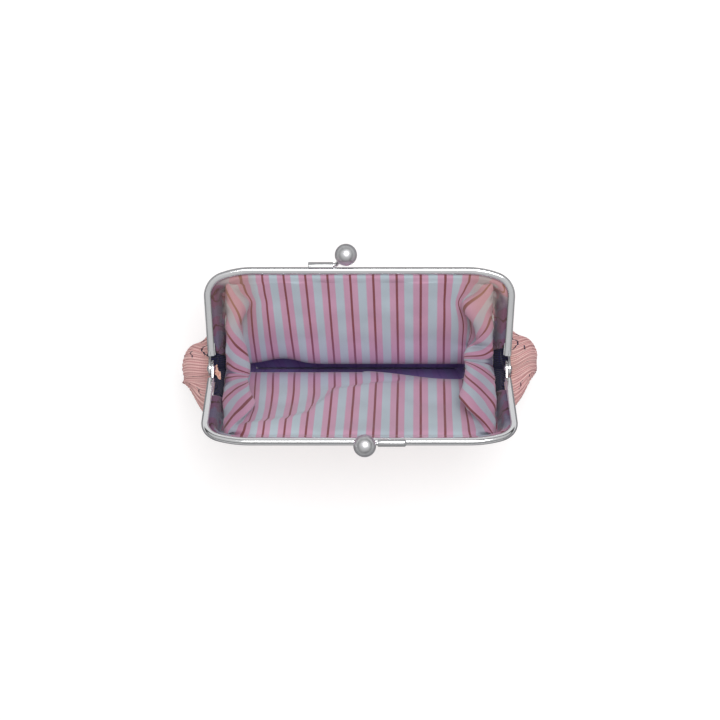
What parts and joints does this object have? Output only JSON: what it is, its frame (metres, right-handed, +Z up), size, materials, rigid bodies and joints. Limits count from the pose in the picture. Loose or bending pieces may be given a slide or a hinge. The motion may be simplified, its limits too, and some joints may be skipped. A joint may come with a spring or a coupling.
{
  "type": "kiss clasp pouch",
  "caption": "Padded knitted pouch with a striped cotton lining on a hinged chrome channel frame, shown open, with a ball clasp that snaps shut.",
  "frame": {"origin": "on the floor, below the middle of the hinge axis", "axes": "+X along the hinge axis and the bars, to the right as seen from the front; +Y towards the back half; +Z up"},
  "size_m": [0.235, 0.1346, 0.1446],
  "materials": {
    "chrome": "polished plated steel",
    "clasp": "polished plating on cast and drawn parts",
    "cord": "twisted paper",
    "knit": "fine ribbed knit with small motifs",
    "padding": "soft wadding",
    "lining": "plain woven cotton, striped"
  },
  "bodies": {
    "pouch": {"knit_back_panel": "knit", "knit_front_panel": "knit", "padding_back": "padding", "padding_front": "padding", "lining_back_panel": "lining", "lining_front_panel": "lining"},
    "back_frame": {"back_channel": "chrome", "hinge_rivets": "clasp", "back_cord": "cord", "back_clasp_strap": "clasp", "back_clasp_wire": "clasp", "back_clasp_ball": "clasp"},
    "front_frame": {"front_channel": "chrome", "front_cord": "cord", "front_clasp_strap": "clasp", "front_clasp_wire": "clasp", "front_clasp_ball": "clasp"}
  },
  "joints": [
    {"name": "back_frame_hinge", "type": "hinge", "parent": "pouch", "child": "back_frame", "pos_m": [0, 0, 0.08], "axis": [1, 0, 0], "range_deg": [-8, 80], "deforming": ["knit_back_panel", "knit_front_panel", "padding_back", "padding_front", "lining_back_panel", "lining_front_panel"]},
    {"name": "front_frame_hinge", "type": "hinge", "parent": "pouch", "child": "front_frame", "pos_m": [0, 0, 0.08], "axis": [-1, 0, 0], "range_deg": [-44, 44], "deforming": ["knit_back_panel", "knit_front_panel", "padding_back", "padding_front", "lining_back_panel", "lining_front_panel"]}
  ]
}
